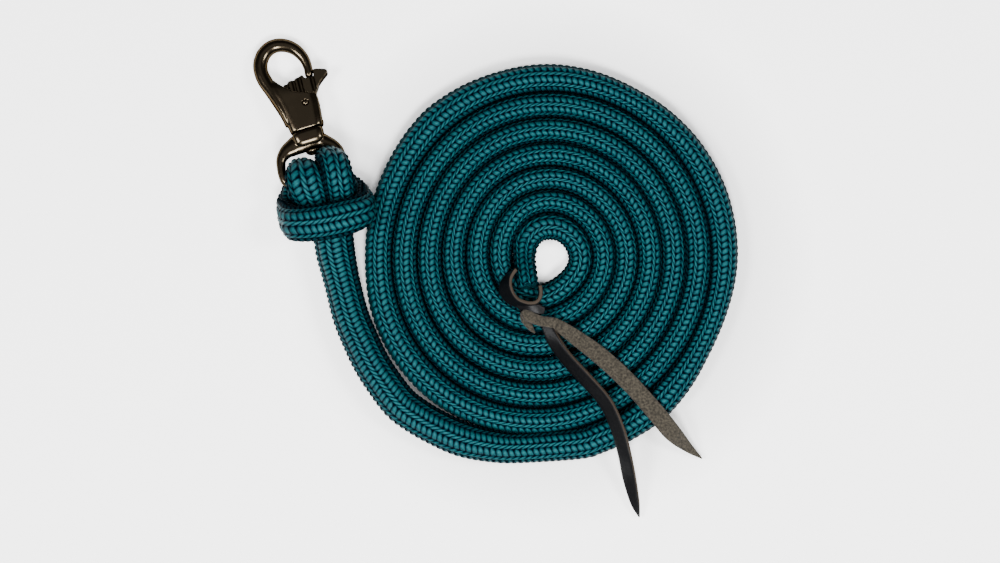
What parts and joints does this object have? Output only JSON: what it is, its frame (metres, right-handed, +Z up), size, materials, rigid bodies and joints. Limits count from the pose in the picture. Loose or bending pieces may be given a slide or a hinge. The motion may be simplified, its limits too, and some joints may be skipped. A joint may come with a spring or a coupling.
{
  "type": "lead rope",
  "caption": "Round braided rope laid in a flat coil, with a swivel trigger snap hitched to its spliced eye and a leather popper on its inner end.",
  "frame": {"origin": "middle of the object's outline, on the surface it lies on", "axes": "+Z up from the surface; +Y towards the snap's end; +X from the snap across the coil"},
  "size_m": [0.2826, 0.2793, 0.0372],
  "materials": {
    "braid": "double-braided polyester yarn, teal",
    "gunmetal": "glossy dark brown-black plating",
    "spring_steel": "plain spring wire",
    "grain_leather": "smooth black grain side",
    "suede_leather": "grey-brown flesh side"
  },
  "bodies": {
    "rope": {"rope_coil": "braid", "rope_splice": "braid", "rope_eye": "braid", "popper_collar": "grain_leather", "popper_knot": "suede_leather", "popper_tail_suede": "suede_leather", "popper_tail_grain": "grain_leather"},
    "bow": {"swivel_bow": "gunmetal"},
    "snap": {"snap_body": "gunmetal", "swivel_stud": "gunmetal", "trigger_pivot_pin": "gunmetal", "trigger_stop_rivet": "gunmetal", "trigger_spring": "spring_steel"},
    "trigger": {"trigger": "gunmetal"}
  },
  "joints": [
    {"name": "bow_tilt", "type": "hinge", "parent": "rope", "child": "bow", "pos_m": [-0.1056, 0.0573, 0.0172], "axis": [0.989, 0.1478, 0], "range_deg": [0, 30]},
    {"name": "swivel", "type": "hinge", "parent": "bow", "child": "snap", "pos_m": [-0.10996, 0.08649, 0.01242], "axis": [-0.2988, 0.9412, -0.1579], "continuous": true},
    {"name": "trigger_turn", "type": "hinge", "parent": "snap", "child": "trigger", "pos_m": [-0.1199, 0.10325, 0.0095], "axis": [0.0236, -0.1581, -0.9871], "range_deg": [0, 35], "stiffness_Nm_per_rad": 0.12, "springref_deg": -34.38}
  ]
}
